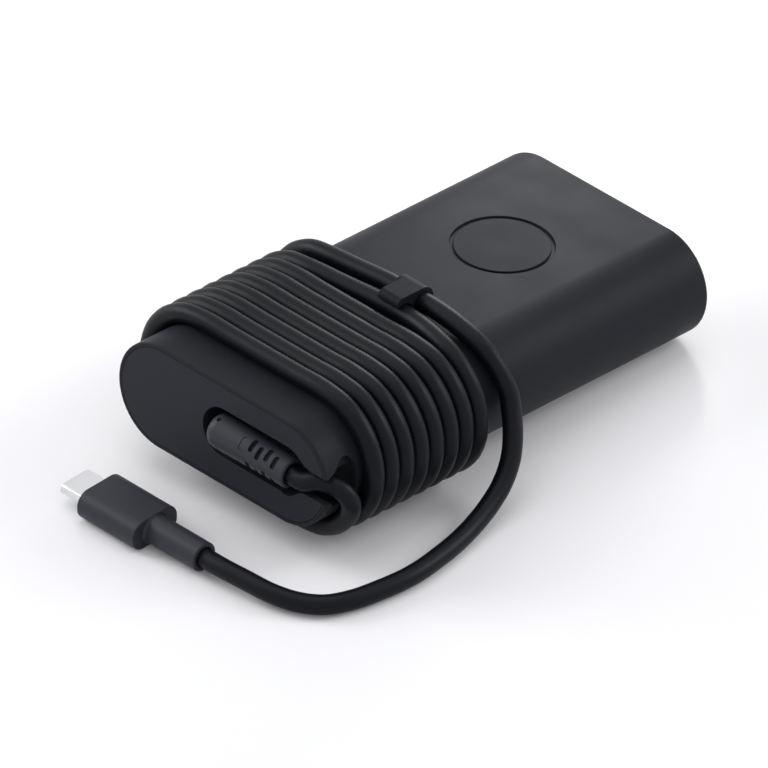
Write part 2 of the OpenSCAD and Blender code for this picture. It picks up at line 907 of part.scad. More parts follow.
// The least gap between two stretches that are at least half a turn apart, measured
// between the middle lines at all rings, less the width across the tube's flat sides
module measure_coil() {
    half = side_steps + straight_mid;
    flat_w = 2 * coil_r * cos(30);
    gaps = [for (i = [0 : len(wound_pts) - 1])
        for (j = [i + half : len(wound_pts) - 1])
            norm(wound_pts[i] - wound_pts[j]) - flat_w];
    lengths = [for (i = [1 : len(wound_pts) - 1]) norm(wound_pts[i] - wound_pts[i - 1])];
    echo(least_gap = min(gaps));
    echo(wound_length = lengths * [for (v = lengths) 1]);
}

module cord_coil() {
    measure_coil();
    color("#1f2022")
        standing()
            tube(wound_pts, wound_ups, coil_r, 6);
}

// ---- Loose cord, from the clip to the plug ----
plug_y = -69.75;
plug_z = plug_h / 2;
collar_end = 11.2;
collar_x = collar_end - collar_l;
plug_x = collar_x - plug_l;
collar_mouth = 0.8;
clip_low = clip_x - clip_ring_l / 2;
clip_high = clip_x + clip_ring_l / 2;
lead_start = [for (p = [on_way(coil_stop), on_way(coil_stop + 0.27),
    [clip_low - 2.6, clip_y, clip_z], [clip_low - 1.2, clip_y, clip_z],
    [clip_high + 1.2, clip_y, clip_z], [clip_high + 2.6, clip_y, clip_z],
    [18.5, clip_y - 0.1, case_h + cord_d / 2 + 0.2]]) stood(p)];
lead_points = [[23.8, -5.7, 28], [26.9, -5.5, 25.9], [29.4, -5.2, 22.8],
    [31.1, -5.2, 20], [32.5, -5.9, 17], [34.4, -7.4, 13.8], [36.6, -10.2, 9.6],
    [38.2, -14.2, 6.3], [39.4, -19.2, 4], [40.5, -24.6, 2.7], [41.6, -30.2, 2.2],
    [42.4, -35.7, 2.1], [43, -44.6, 2.1], [42, -52, 2.1], [40.3, -58.6, 2.1], [37.9, -63, 2.1],
    [33.8, -66.1, 2.15], [28.7, -68.2, 2.6], [22.3, -69.1, 3]];
lead_end = [for (x = [5, 0.8, 0]) [collar_end - collar_mouth + x, plug_y, plug_z]];
lead_route = concat(lead_start, lead_points, lead_end);
lead_smooth = smooth(lead_route, 2);

module cord_lead() {
    color("#1f2022")
        tube(lead_smooth, [for (p = lead_smooth) [1, 0, 1]], cord_d / 2, 10);
}

// ---- Clip: a ring on the cord and a hook over the turn beside it ----
hook_bend = 1.5;
hook_low = 1.3;
hook_bore_r = coil_r + 0.6;
hook_bore_y = lay(turns - 1) + pull * 0.9 - clip_y;
hook_bore_z = case_h + coil_off - clip_z;

module cord_clip() {
    color("#1b1c1e")
        standing()
            translate([0, clip_y, clip_z])
                difference() {
                    union() {
                        along_x(clip_low, clip_high)
                            circle(ring_r);
                        along_x(clip_high - clip_hook_w, clip_high)
                            hook_outline();
                    }
                    along_x(clip_low - past, clip_high + past)
                        circle(cord_d / 2 + clip_play);
                    along_x(clip_low - past, clip_high + past)
                        translate([hook_bore_y, hook_bore_z])
                            circle(hook_bore_r);
                }
}

// The hook in y and z from the ring's middle: flat above, with a short lip at its end
module hook_outline() {
    polygon(concat([[0, 0], [0, ring_r]],
        [for (a = [90 : 15 : 180])
            [hook_bend - clip_reach + hook_bend * cos(a), ring_r - hook_bend + hook_bend * sin(a)]],
        [[-clip_reach, hook_low], [hook_bore_y, hook_low], [hook_bore_y + 1, 0]]));
}

// ---- Plug, lying on the same surface as the case stands on ----
cavity_l = plug_l - 3;
cavity_w = shell_w + 0.6;
cavity_h = 3.4;
shell_root = 4;

module plug_placed() {
    translate([plug_x, plug_y, plug_z])
        children();
}

module plug_overmould() {
    color("#202124")
        plug_placed()
            difference() {
                intersection() {
                    along_x(0, plug_l)
                        rounded_square(plug_w, plug_h, plug_edge_r);
                    translate([plug_l / 2, 0, -plug_h])
                        linear_extrude(2 * plug_h)
                            rounded_square(plug_l, plug_w, plug_corner_r);
                }
                block([1.2, -cavity_w / 2, -cavity_h / 2],
                    [1.2 + cavity_l, cavity_w / 2, cavity_h / 2]);
                shell_bar(-past, 2, 0.03);
            }
}

// The shell's flat round-ended shape, grown by some amount
module shell_bar(x1, x2, grow) {
    along_x(x1, x2) {
        square([shell_w - shell_h, shell_h + 2 * grow], center = true);
        for (s = [-1, 1])
            translate([s * (shell_w - shell_h) / 2, 0])
                circle(shell_h / 2 + grow);
    }
}

module plug_sleeve() {
    color("#202124")
        translate([collar_x, plug_y, plug_z])
            rotate([0, 90, 0])
                rotate_extrude()
                    difference() {
                        union() {
                            square([collar_d / 2, collar_l - 0.6]);
                            square([collar_d / 2 - 0.6, collar_l]);
                            translate([collar_d / 2 - 0.6, collar_l - 0.6])
                                circle(0.6);
                        }
                        polygon([[0, collar_l - collar_mouth],
                            [cord_d / 2, collar_l - collar_mouth],
                            [cord_d / 2 + 0.15, collar_l + past], [0, collar_l + past]]);
                    }
}

module plug_shell() {
    color("#d4d5d8")
        plug_placed()
            difference() {
                shell_bar(-shell_l, shell_root, 0);
                shell_bar(-shell_l - past, shell_root + past, -shell_t);
            }
}

slot_h = 1;
slot_tongue_w = 6.9;
module plug_insert() {
    color("#1a1b1d")
        plug_placed()
            difference() {
                shell_bar(-shell_l + 0.4, 3.8, -shell_t - 0.02);
                block([-shell_l - past, -slot_tongue_w / 2, -slot_h / 2],
                    [-0.4, slot_tongue_w / 2, slot_h / 2]);
            }
}

contact_l = 4.6;
contact_t = 0.12;
module plug_contacts() {
    color("#c9a44a")
        plug_placed()
            for (side = [-1, 1])
                for (i = [-5.5 : 1 : 5.5])
                    translate([-shell_l + 1.2, i * 0.5 - 0.12,
                        side > 0 ? slot_h / 2 - contact_t : -slot_h / 2])
                        cube([contact_l, 0.24, contact_t]);
}

module plug_board() {
    color("#1f5a35")
        plug_placed()
            block([shell_root + fit_gap, -cavity_w / 2 + fit_gap, -0.4],
                [1.2 + cavity_l - fit_gap, cavity_w / 2 - fit_gap, 0.4]);
}

case_sleeve();
front_cap();
rear_cap();
badge_disc();
inlet_body();
inlet_pins();
inlet_leads();
main_board();
insulation_sheet();
lower_heat_spreader();
upper_heat_spreader();
thermal_pad();
fuse();
x_capacitor();
choke_core();
choke_windings();
bridge_rectifier();
bulk_capacitor();
primary_switch();
switch_heatsink();
transformer_core();
transformer_bobbin();
transformer_winding();
output_rectifier();
output_capacitors();
control_board();
control_chip();
output_leads();
cord_boot();
cord_coil();
cord_lead();
cord_clip();
plug_overmould();
plug_sleeve();
plug_shell();
plug_insert();
plug_contacts();
plug_board();
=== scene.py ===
# %% [markdown]
# # A laptop power adapter
# The adapter is a flat box with round sides. Its output cord is wound round it nine times, is
# held by a small rubber clip, and ends in a small metal plug that lies in front. The packed
# model gives every piece its place and size. This lesson gives the pieces that show their soft
# edges and their finish.

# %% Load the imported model
import json
import math

import bmesh
import bpy
from mathutils import Matrix, Vector


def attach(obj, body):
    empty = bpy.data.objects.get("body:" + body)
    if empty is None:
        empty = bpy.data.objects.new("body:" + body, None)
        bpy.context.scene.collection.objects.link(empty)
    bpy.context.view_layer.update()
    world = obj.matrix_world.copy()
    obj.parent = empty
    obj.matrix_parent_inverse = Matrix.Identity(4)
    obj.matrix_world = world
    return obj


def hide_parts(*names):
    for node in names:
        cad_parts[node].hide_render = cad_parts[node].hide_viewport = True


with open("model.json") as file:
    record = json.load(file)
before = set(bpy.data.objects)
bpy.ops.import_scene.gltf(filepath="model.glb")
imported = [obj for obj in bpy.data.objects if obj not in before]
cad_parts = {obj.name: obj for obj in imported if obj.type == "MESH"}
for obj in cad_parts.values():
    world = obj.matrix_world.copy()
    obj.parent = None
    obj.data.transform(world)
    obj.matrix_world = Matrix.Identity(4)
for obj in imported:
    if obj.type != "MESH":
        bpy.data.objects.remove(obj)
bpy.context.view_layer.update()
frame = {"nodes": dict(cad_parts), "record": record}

# %% [markdown]
# ## The case, drawn level
# A designer writes each size once and works out the rest. The case is drawn lying level, in
# millimetres, with x across it, y from the cord end to the mains end, and z up from its
# underside. Each later step gives its own sizes in the same way.

# %% Sizes of the case
MM = 0.001
case_w, case_h, case_l = 58, 23.3, 107.4
front_rim_r, rear_rim_r = 0.4, 1
side_r = case_h / 2
side_x = case_w / 2 - side_r
print("case", case_w, "x", case_l, "x", case_h, "mm")

# %% [markdown]
# ## How the case stands
# The turns of cord run under the case as well, so the case can't lie flat: it rests on the
# last turn and on its rear bottom edge, and tilts by about four degrees. Each piece could be
# drawn tilted, but one matrix that turns the level drawing into the standing case is easier,
# and it serves pieces and points of the cord alike.

# %% Sizes of the winding
cord_d, turns, turn_pitch, first_turn_y = 4.1, 9, 4.15, 10.85
entry_step, last_step = turn_pitch + 0.2, 2.3
coil_slim, coil_gap = 0.1, 0.02
coil_r = cord_d / 2 - coil_slim
coil_off = cord_d - coil_r + coil_gap


def lay(i):
    """How far along the case turn i ends. Turn 0 is the place where the winding starts."""
    if i == 0:
        return first_turn_y - entry_step
    if i == turns:
        return first_turn_y + (turns - 1) * turn_pitch + last_step
    return first_turn_y + (i - 1) * turn_pitch


print("turns from", round(lay(0), 2), "to", round(lay(turns), 2), "mm")

# %% The standing case
stand_a = case_l - rear_rim_r - lay(turns)
stand_b = rear_rim_r + coil_off + coil_r
tilt = math.atan2(stand_b, stand_a) - math.asin(rear_rim_r / math.hypot(stand_a, stand_b))
tilt_c, tilt_s = math.cos(tilt), math.sin(tilt)
stand_z = (case_l - rear_rim_r) * tilt_s + rear_rim_r * (1 - tilt_c)
stand_front = front_rim_r * (tilt_c + tilt_s - 1)
stand_back = (case_l - rear_rim_r) * tilt_c + (case_h - rear_rim_r) * tilt_s + rear_rim_r
stand_y = -(stand_front + stand_back) / 2
STANDING = Matrix.Translation((0, stand_y, stand_z)) @ Matrix.Rotation(-tilt, 4, "X")
print("tilt", round(math.degrees(tilt), 2), "degrees")

# %% [markdown]
# ## Camera
# A product shot is taken from far away with a long lens, so that parallel edges stay nearly
# parallel. The camera looks at the case from its right front corner, from above. It could be
# aimed by a constraint. Three directions do the same and are easy to check: one from the
# object back to the camera, and two that lie in the picture.

# %% The camera
azimuth, elevation = math.radians(44.8037), math.radians(35.6803)
distance, shift_right, shift_up = 4072.5, -6.098, 3.082
back = Vector((math.sin(azimuth) * math.cos(elevation), -math.cos(azimuth) * math.cos(elevation),
               math.sin(elevation)))
right = Vector((math.cos(azimuth), math.sin(azimuth), 0))
up = back.cross(right)
camera = bpy.data.objects.new("camera", bpy.data.cameras.new("camera"))
camera.data.sensor_width = 36
camera.data.lens = 964.75
camera.data.clip_end = 100
camera.location = (back * distance + right * shift_right + up * shift_up) * MM
camera.rotation_mode = "QUATERNION"
camera.rotation_quaternion = Matrix((right, up, back)).transposed().to_quaternion()
bpy.context.scene.collection.objects.link(camera)
bpy.context.scene.camera = camera
print("camera", [round(c, 3) for c in camera.location])

# %% [markdown]
# ## The route of the cord
# The cord leaves its rubber boot in the pocket, passes through the mouth in the right side and
# runs down and under the case. Nine turns later it goes through the clip, falls to the table
# and swings round to the plug. A Screw modifier could wind a round coil, but not one round a
# flat case with a clip on it. So the route is a list of points on the middle line, with a
# smooth curve through them and a round section that follows the curve, as a cord does.

# %% Sizes of what the cord runs through
pocket_x, pocket_z = 0, 12.05
boot_x, boot_y, boot_z = pocket_x - 2.7, 0.6, pocket_z
boot_l, boot_drop, boot_mouth = 21.5, 1.6, 0.8
clip_x, ring_l, ring_t, clip_play, hair_gap = 4.4, 6.2, 0.95, 0.08, 0.05
ring_low, ring_high = clip_x - ring_l / 2, clip_x + ring_l / 2
ring_r = cord_d / 2 + clip_play + ring_t
clip_y, clip_z = lay(turns) + 0.8, case_h + ring_r + hair_gap
plug_h, collar_end, collar_mouth = 6.5, 11.2, 0.8
plug_y, plug_z = -69.75, plug_h / 2
print("clip at", round(clip_x, 2), round(clip_y, 2), round(clip_z, 2), "mm")

# %% Points on the middle line of one turn
side_steps, straight_mid = 9, 3
ride_r = side_r + coil_off
# The hook draws the turn beside the clip towards it, most on top and a little on the side.
pull = clip_y - ring_r - coil_r - hair_gap - lay(turns - 1)
pull_top, pull_shoulder, pull_side = (0.43, 0.86, 1), 0.42, 0.09


def round_point(x, y, degrees):
    """A point on the half circle round a side of the case whose middle is at x."""
    a = math.radians(degrees)
    return Vector((x + ride_r * math.cos(a), y, side_r + ride_r * math.sin(a)))


def one_turn(i):
    """Under the case, up its left side, across its top and down its right side."""
    y1, y2 = lay(i - 1), lay(i)
    here = pull if i == turns - 1 else 0
    parts = [s / (straight_mid + 1) for s in range(1, straight_mid + 1)]
    down = [pull_shoulder, pull_side] + [0] * (side_steps - 1)
    sides = [s / side_steps for s in range(side_steps + 1)]
    top = case_h + coil_off
    return (
        [Vector((side_x * (1 - 2 * q), y1 + (y2 - y1) * q, -coil_off)) for q in parts]
        + [round_point(-side_x, y2, -90 - 180 * q) for q in sides]
        + [Vector((-side_x * (1 - 2 * q), y2 + here * w, top)) for q, w in zip(parts, pull_top)]
        + [round_point(side_x, y2 + here * w, 90 - 180 * q) for q, w in zip(sides, down)]
    )


print("points in a turn:", len(one_turn(1)))

# %% The route from the boot to the clip
drop = math.radians(boot_drop)
boot_axis = Vector((math.cos(drop), 0, -math.sin(drop)))
boot_end = Vector((boot_x, boot_y, boot_z)) + boot_axis * (boot_l - boot_mouth)
# Through the mouth: how far out of the side, along from the first turn, and above mid height.
mouth_way = [(-4.2, -4.6, 0.6), (-1.6, -3.5, 0.35), (0.5, -2.4, -0.7), (1.6, -1.6, -2.6)]
# Down the side: how far before the first turn, and the angle round the side.
first_bend = [(1, -20), (0.55, -37), (0.25, -55), (0.05, -73), (0, -90)]
rise_parts = (0.32, 0.62, 0.89)
clip_run = (ring_low - 2.6, ring_low - 1.2, ring_high + 1.2, ring_high + 2.6)


def toward_clip(q):
    """A point on the rise from the left edge of the top to the clip."""
    start = Vector((-side_x, lay(turns), case_h + coil_off))
    return start + (Vector((ring_low - 3, clip_y, clip_z)) - start) * q


route = [boot_end, boot_end + boot_axis * cord_d]
route += [Vector((case_w / 2 + x, lay(0) + y, side_r + z)) for x, y, z in mouth_way]
route += [round_point(side_x, lay(0) - before, degrees) for before, degrees in first_bend]
for i in range(1, turns):
    route += one_turn(i)
route += one_turn(turns)[: straight_mid + side_steps + 1]
route += [toward_clip(q) for q in rise_parts]
route += [Vector((x, clip_y, clip_z)) for x in clip_run]
route.append(Vector((18.5, clip_y - 0.1, case_h + cord_d / 2 + 0.2)))
route = [STANDING @ p for p in route]
print(len(route), "points round the case")

# %% The route from the clip to the plug
loose = [
    (23.8, -5.7, 28), (26.9, -5.5, 25.9), (29.4, -5.2, 22.8), (31.1, -5.2, 20),
    (32.5, -5.9, 17), (34.4, -7.4, 13.8), (36.6, -10.2, 9.6), (38.2, -14.2, 6.3),
    (39.4, -19.2, 4), (40.5, -24.6, 2.7), (41.6, -30.2, 2.2), (42.4, -35.7, 2.1),
    (43, -44.6, 2.1), (42, -52, 2.1), (40.3, -58.6, 2.1), (37.9, -63, 2.1),
    (33.8, -66.1, 2.15), (28.7, -68.2, 2.6), (22.3, -69.1, 3),
]
route += [Vector(p) for p in loose]
route += [Vector((collar_end - collar_mouth + x, plug_y, plug_z)) for x in (5, 0.8, 0)]
print(len(loose), "points that lie loose")

# %% The smooth curve
steps_between = 5


def smooth_route(points, steps):
    """A curve through all points, which uneven spacing doesn't make overshoot."""
    ends = [2 * points[0] - points[1], *points, 2 * points[-1] - points[-2]]
    found = []
    for a, b, c, d in zip(ends, ends[1:], ends[2:], ends[3:]):
        ab, bc, cd = (b - a).length, (c - b).length, (d - c).length
        slope_b = ((c - b) * ab + (b - a) * bc * bc / ab) / (ab + bc)
        slope_c = ((d - c) * bc * bc / cd + (c - b) * cd) / (bc + cd)
        for s in range(steps):
            t = s / steps
            found.append(b * (2 * t ** 3 - 3 * t ** 2 + 1) + slope_b * (t ** 3 - 2 * t ** 2 + t)
                         + c * (3 * t ** 2 - 2 * t ** 3) + slope_c * (t ** 3 - t ** 2))
    return found + [points[-1]]


middle_line = [p * MM for p in smooth_route(route, steps_between)]
cord_length = sum((b - a).length for a, b in zip(middle_line, middle_line[1:]))
print("cord length", round(cord_length, 3), "m")

# %% The cord
curve = bpy.data.curves.new("output_cord", "CURVE")
curve.dimensions = "3D"
curve.bevel_depth = cord_d / 2 * MM
curve.bevel_resolution = 6
curve.use_fill_caps = True
spline = curve.splines.new("POLY")
spline.points.add(len(middle_line) - 1)
for point, p in zip(spline.points, middle_line):
    point.co = (*p, 1)
spline.use_smooth = True
output_cord = bpy.data.objects.new("output_cord", curve)
bpy.context.scene.collection.objects.link(output_cord)
print("cord drawn through", len(spline.points), "points")

# %% [markdown]
# ## Floor and world
# The adapter stands on a matt white table with a faint gloss, in soft studio light. More light
# would make the table white, but would wash out the adapter too. So the table and the world
# are white by their own colour, and are lifted to full white only where they are looked at,
# also by way of a mirror or glass. The table keeps the adapter's shadow.


# %% One function that adds a node, and one that turns a written colour to linear light
def add(tree, kind, inputs=None, **settings):
    """Adds a node. Each input is a value, or the socket that it is linked to."""
    node = tree.nodes.new(kind)
    for name, value in settings.items():
        setattr(node, name, value)
    for key, value in (inputs or {}).items():
        if isinstance(value, bpy.types.NodeSocket):
            tree.links.new(value, node.inputs[key])
        else:
            node.inputs[key].default_value = value
    return node


def linear(hex_colour):
    """A colour as it is written for a screen, in the linear light that Blender counts in."""
    parts = [int(hex_colour[i:i + 2], 16) / 255 for i in (1, 3, 5)]
    return [*(c / 12.92 if c <= 0.04045 else ((c + 0.055) / 1.055) ** 2.4 for c in parts), 1]


print("mid grey #808080 is", round(linear("#808080")[0], 3), "in linear light")


# %% Where a surface is looked at
def looked_at(tree):
    """1 where the camera, a mirror or glass looks, and 0 where a surface only gives light."""
    path = add(tree, "ShaderNodeLightPath")
    seen = path.outputs["Is Camera Ray"]
    for ray in ("Is Glossy Ray", "Is Transmission Ray"):
        both = add(tree, "ShaderNodeMath", {0: seen, 1: path.outputs[ray]}, operation="ADD")
        seen = both.outputs[0]
    return seen


WHITE = linear("#ffffff")
print("white is", WHITE)

# %% The table
table_reach = 3
table_mat = bpy.data.materials.new("white_table")
table_mat.use_nodes = True
tree = table_mat.node_tree
tree.nodes.clear()
lift = add(tree, "ShaderNodeMath", {0: looked_at(tree), 1: 0.03}, operation="MULTIPLY")
matt = add(tree, "ShaderNodeBsdfDiffuse", {"Color": linear("#ececee")})
glow = add(tree, "ShaderNodeEmission", {"Color": WHITE, "Strength": lift.outputs[0]})
lit = add(tree, "ShaderNodeAddShader", {0: matt.outputs[0], 1: glow.outputs[0]})
gloss = add(tree, "ShaderNodeBsdfGlossy", {"Color": WHITE, "Roughness": 0.28})
mixed = add(tree, "ShaderNodeMixShader", {0: 0.05, 1: lit.outputs[0], 2: gloss.outputs[0]})
add(tree, "ShaderNodeOutputMaterial", {"Surface": mixed.outputs[0]})
bm = bmesh.new()
bmesh.ops.create_grid(bm, x_segments=1, y_segments=1, size=table_reach)
mesh = bpy.data.meshes.new("table")
bm.to_mesh(mesh)
bm.free()
mesh.materials.append(table_mat)
table = bpy.data.objects.new("table", mesh)
bpy.context.scene.collection.objects.link(table)
print("table", [round(c, 2) for c in table.dimensions])

# %% The world, white where it is looked at and softer where it only gives light
world = bpy.data.worlds.new("studio")
bpy.context.scene.world = world
world.use_nodes = True
tree = world.node_tree
tree.nodes.clear()
soft = add(tree, "ShaderNodeBackground", {"Color": linear("#fcfcff"), "Strength": 0.62})
white = add(tree, "ShaderNodeBackground", {"Color": WHITE, "Strength": 1})
both = add(tree, "ShaderNodeMixShader",
           {0: looked_at(tree), 1: soft.outputs[0], 2: white.outputs[0]})
add(tree, "ShaderNodeOutputWorld", {"Surface": both.outputs[0]})
bpy.context.scene.view_settings.view_transform = "Standard"
print("world nodes", len(tree.nodes))

# %% [markdown]
# ## Lamps
# Black plastic shows only what it mirrors, so it needs large soft lamps rather than strong
# ones. The broad one above lights the top and makes the soft shadow. The one on the left
# reaches the cord end, and the one behind on the right draws the side. A very weak one close
# to the far corner of the top lets the light fall off along it, as a near window would.


# %% Three soft lamps, and a small one near the far corner
def lamp(name, place, size, power):
    """A lamp that faces the middle of the table."""
    light = bpy.data.lights.new(name, "AREA")
    light.shape, light.energy = "RECTANGLE", power
    light.size, light.size_y = size
    obj = bpy.data.objects.new(name, light)
    obj.location = place
    obj.rotation_mode = "QUATERNION"
    obj.rotation_quaternion = Vector(place).to_track_quat("Z", "Y")
    bpy.context.scene.collection.objects.link(obj)
    print(name, power, "W")
    return obj


lamp("top_softbox", (-0.2, 0, 1.2), (1, 1), 3.4)
lamp("left_softbox", (-0.5, -0.25, 0.3), (0.3, 0.3), 2.1)
lamp("back_softbox", (0.35, 0.45, 0.35), (0.3, 0.3), 1.75)
corner_light = lamp("corner_light", (-0.065, 0.12, 0.065), (0.06, 0.06), 0.009)
corner_light.data.spread = math.radians(50)
corner_light.visible_camera = False

# %% [markdown]
# ## Finishes
# No moulded surface is even: the mould leaves a fine grain, and the plastic flows and cools in
# faint patches. A picture of plastic could be laid on, but it would show its own grain and its
# edges. So one function gives every finish a grain in relief and wide patches in colour and
# roughness, each of a real size. Real mould grain is finer than 0.1 mm, which would not show,
# so it is drawn a few tenths of a millimetre wide.

# %% A pattern of a real size, and the function for all finishes
patch_size = 9.0


def per_mm(size):
    """The scale of a pattern in object coordinates whose features are that many millimetres."""
    return 1 / (size * MM)


def grained(name, colours, roughness, spread, grain, relief, specular=0.5, metallic=0.0):
    """A fine grain in relief, and wide faint patches between two colours and roughnesses.

    The grain's width and its relief are in millimetres. An IOR of 1.5 is usual for plastics,
    and metals keep it, as it is the shader's own.
    """
    material = bpy.data.materials.new(name)
    material.use_nodes = True
    tree = material.node_tree
    tree.nodes.clear()
    place = add(tree, "ShaderNodeTexCoord").outputs["Object"]
    fine = add(tree, "ShaderNodeTexNoise",
               {"Vector": place, "Scale": per_mm(grain), "Detail": 3.0}).outputs["Fac"]
    wide = add(tree, "ShaderNodeTexNoise",
               {"Vector": place, "Scale": per_mm(patch_size), "Detail": 2.0}).outputs["Fac"]
    dull = add(tree, "ShaderNodeMapRange",
               {"Value": wide, "From Min": 0.3, "From Max": 0.7,
                "To Min": roughness - spread, "To Max": roughness + spread})
    tone = add(tree, "ShaderNodeMix",
               {0: wide, 6: linear(colours[0]), 7: linear(colours[1])}, data_type="RGBA")
    bump = add(tree, "ShaderNodeBump",
               {"Height": fine, "Strength": 0.5, "Distance": relief * MM})
    shader = add(tree, "ShaderNodeBsdfPrincipled",
                 {"Base Color": tone.outputs[2], "Roughness": dull.outputs[0],
                  "Normal": bump.outputs[0], "IOR": 1.5, "Metallic": metallic,
                  "Specular IOR Level": specular})
    add(tree, "ShaderNodeOutputMaterial", {"Surface": shader.outputs[0]})
    return material


print("a grain of 0.2 mm has scale", per_mm(0.2))

# %% Finishes of the case
# Polycarbonate from a spark-eroded mould: dark grey and almost even, with a glow rather than
# a highlight.
case_mat = grained("spark_textured_polycarbonate", ("#1f2125", "#23252a"),
                   0.48, 0.04, 0.22, 0.02, specular=0.07)
# The end plates are moulded apart, with a finer grain: a touch lighter, so the seam reads.
cap_mat = grained("fine_textured_polycarbonate", ("#23252a", "#27292f"),
                  0.5, 0.03, 0.18, 0.015, specular=0.1)
# The disc comes from a smooth mould: calmer than the case round it, and hardly darker.
badge_mat = grained("smooth_polycarbonate", ("#1d1f23", "#202226"),
                    0.46, 0.03, 0.3, 0.008, specular=0.05)
print("case finishes:", case_mat.name, cap_mat.name, badge_mat.name)

# %% Finishes of the cord, the boot, the clip and the plug
# An elastomer drawn over the wires: deep black, with one thin soft light along each turn.
cord_mat = grained("satin_tpe_jacket", ("#080a11", "#0b0d14"),
                   0.44, 0.03, 0.25, 0.008, specular=0.14)
# The same kind of elastomer from a blasted mould: a matt grey, in which the slots show dark.
boot_mat = grained("matt_tpe_boot", ("#2e3036", "#32343a"),
                   0.46, 0.04, 0.2, 0.01, specular=0.18)
# Silicone rubber: soft and dull, between the black of the cord and the grey of the case.
clip_mat = grained("soft_silicone_rubber", ("#15171d", "#181a20"),
                   0.5, 0.04, 0.25, 0.012, specular=0.08)
# The grip's elastomer is matt too, and pale enough that its edges stand out.
plug_mat = grained("matt_tpe_overmould", ("#2b2d33", "#2f3138"),
                   0.44, 0.04, 0.2, 0.012, specular=0.18)
output_cord.data.materials.append(cord_mat)
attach(output_cord, "adapter")
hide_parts("cord_coil", "cord_lead")
print("cord finish:", cord_mat.name)

# %% Finishes of the shell, the pins and what holds them
# Plated steel sheet: close to a mirror, so it takes the white of the studio.
shell_mat = grained("nickel_plated_steel", ("#dcdde0", "#d2d3d6"),
                    0.14, 0.03, 0.15, 0.002, metallic=1.0)
# Nylon with glass fibre: a dull near-black, deep in the shell.
insert_mat = grained("glass_filled_nylon", ("#101113", "#141517"), 0.4, 0.05, 0.2, 0.006)
# The socket's plastic: dull and dark, so the pins stand out.
inlet_mat = grained("glass_filled_pbt", ("#141517", "#18191b"), 0.5, 0.05, 0.2, 0.01)
# Plated brass: a bright metal that stays a little warm.
pin_mat = grained("nickel_plated_brass", ("#d8d4c8", "#cbc6b8"),
                  0.25, 0.05, 0.2, 0.002, metallic=1.0)
# Gold plating: warm yellow lines on the black liner.
gold_mat = grained("gold_plated_contact", ("#d9b04c", "#cfa23d"),
                   0.25, 0.05, 0.1, 0.001, metallic=1.0)
print(len(bpy.data.materials), "materials so far")

# %% [markdown]
# ## Tools for the shapes
# The case, the boot, the clip and the plug are all simple sections with softened edges.
# Subdivided blocks could be pushed into such shapes, but their flats would swell. So a few
# tools work as a moulder does: a flat outline with rounded corners, a straight pull or a full
# turn of it, a cut of one shape by another, and a bevel on chosen edges.


# %% Outlines
def outline(corners, rounds=0):
    """A face in x and z. Each round says how far from its corner it starts."""
    bm = bmesh.new()
    verts = [bm.verts.new((x, 0, z)) for x, z in corners]
    bm.faces.new(verts)
    rounds = [rounds] * len(verts) if isinstance(rounds, (int, float)) else rounds
    for size in sorted(set(rounds) - {0}):
        chosen = [v for v, r in zip(verts, rounds) if r == size]
        bmesh.ops.bevel(bm, geom=chosen, offset=size, segments=8, profile=0.5,
                        affect="VERTICES", material=-1)
    return bm


def rectangle(x1, z1, x2, z2, rounds=0):
    """An outline with four corners, from the low left one round to the high left one."""
    return outline([(x1, z1), (x2, z1), (x2, z2), (x1, z2)], rounds)


trial = rectangle(0, 0, 10, 10, 2)
print("a rounded square has", len(trial.verts), "points")
trial.free()


# %% A straight pull, and a full turn
def pulled(bm, y1, y2):
    """Carries the faces straight along y."""
    bmesh.ops.translate(bm, vec=(0, y1, 0), verts=bm.verts)
    found = bmesh.ops.extrude_face_region(bm, geom=bm.faces[:], use_keep_orig=True)
    moved = [v for v in found["geom"] if isinstance(v, bmesh.types.BMVert)]
    bmesh.ops.translate(bm, vec=(0, y2 - y1, 0), verts=moved)
    bmesh.ops.recalc_face_normals(bm, faces=bm.faces)
    return bm


def turned(bm, steps=64):
    """Turns an outline, whose x is the distance from the z axis, once round that axis."""
    bmesh.ops.delete(bm, geom=bm.faces[:], context="FACES_ONLY")
    on_axis = [e for e in bm.edges if max(abs(v.co.x) for v in e.verts) < 1e-6]
    bmesh.ops.delete(bm, geom=on_axis, context="EDGES")
    bmesh.ops.spin(bm, geom=bm.verts[:] + bm.edges[:], cent=(0, 0, 0), axis=(0, 0, 1),
                   angle=2 * math.pi, steps=steps, use_merge=True)
    bmesh.ops.remove_doubles(bm, verts=bm.verts, dist=1e-4)
    bmesh.ops.recalc_face_normals(bm, faces=bm.faces)
    return bm


trial = turned(rectangle(0, 0, 1, 1))
print("a turned square has", len(trial.faces), "faces, closed:",
      all(e.is_manifold for e in trial.edges))
trial.free()

# %% Moves, cuts and soft edges
ALONG_X = Matrix.Rotation(math.pi / 2, 4, "Z")
ALONG_Y = Matrix.Rotation(-math.pi / 2, 4, "X")
same_plane, sharp_fold = 1e-3, 0.5


def placed(bm, matrix):
    """Moves or turns a shape by a matrix, and gives it back."""
    bmesh.ops.transform(bm, matrix=matrix, verts=bm.verts)
    return bm


def combine(body, tool, operation="DIFFERENCE"):
    """Cuts, joins or crosses two closed shapes, and gives back what is left."""
    work = []
    for shape in (body, tool):
        mesh = bpy.data.meshes.new("work")
        shape.to_mesh(mesh)
        shape.free()
        work.append(bpy.data.objects.new("work", mesh))
        bpy.context.scene.collection.objects.link(work[-1])
    step = work[0].modifiers.new("combine", "BOOLEAN")
    step.operation, step.solver, step.object = operation, "EXACT", work[1]
    result = bmesh.new()
    result.from_object(work[0], bpy.context.evaluated_depsgraph_get())
    for obj in work:
        bpy.data.meshes.remove(obj.data)
    bmesh.ops.remove_doubles(result, verts=result.verts, dist=1e-3)
    bmesh.ops.dissolve_degenerate(result, dist=1e-3, edges=result.edges)
    return result


